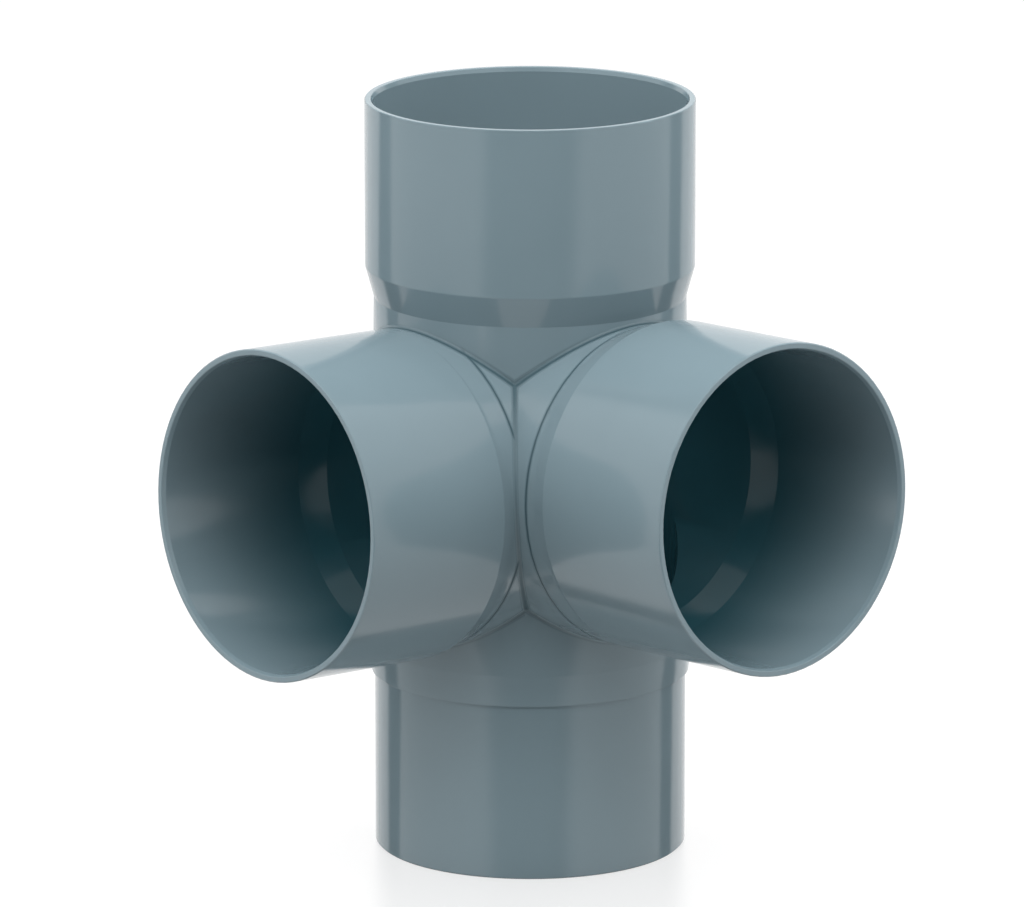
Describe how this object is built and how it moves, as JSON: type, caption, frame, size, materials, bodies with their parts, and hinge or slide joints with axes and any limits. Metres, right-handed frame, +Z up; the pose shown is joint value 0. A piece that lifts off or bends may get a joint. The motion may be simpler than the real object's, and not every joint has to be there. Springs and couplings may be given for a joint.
{
  "type": "double branch fitting",
  "caption": "Moulded corner double branch for a drain stack: spigot at the foot, socket on top, and socketed branches at right angles to each other, one set higher.",
  "frame": {"origin": "centre of the spigot's end face, on the run's axis", "axes": "+Z up the run to its socket, -Y towards the lower branch, +X towards the upper branch"},
  "size_m": [0.1909, 0.1824, 0.2685],
  "materials": {
    "grey_upvc": "smooth semi-gloss, blue-green grey, coloured through"
  },
  "bodies": {
    "root": {"double_branch_fitting": "grey_upvc"}
  },
  "joints": []
}
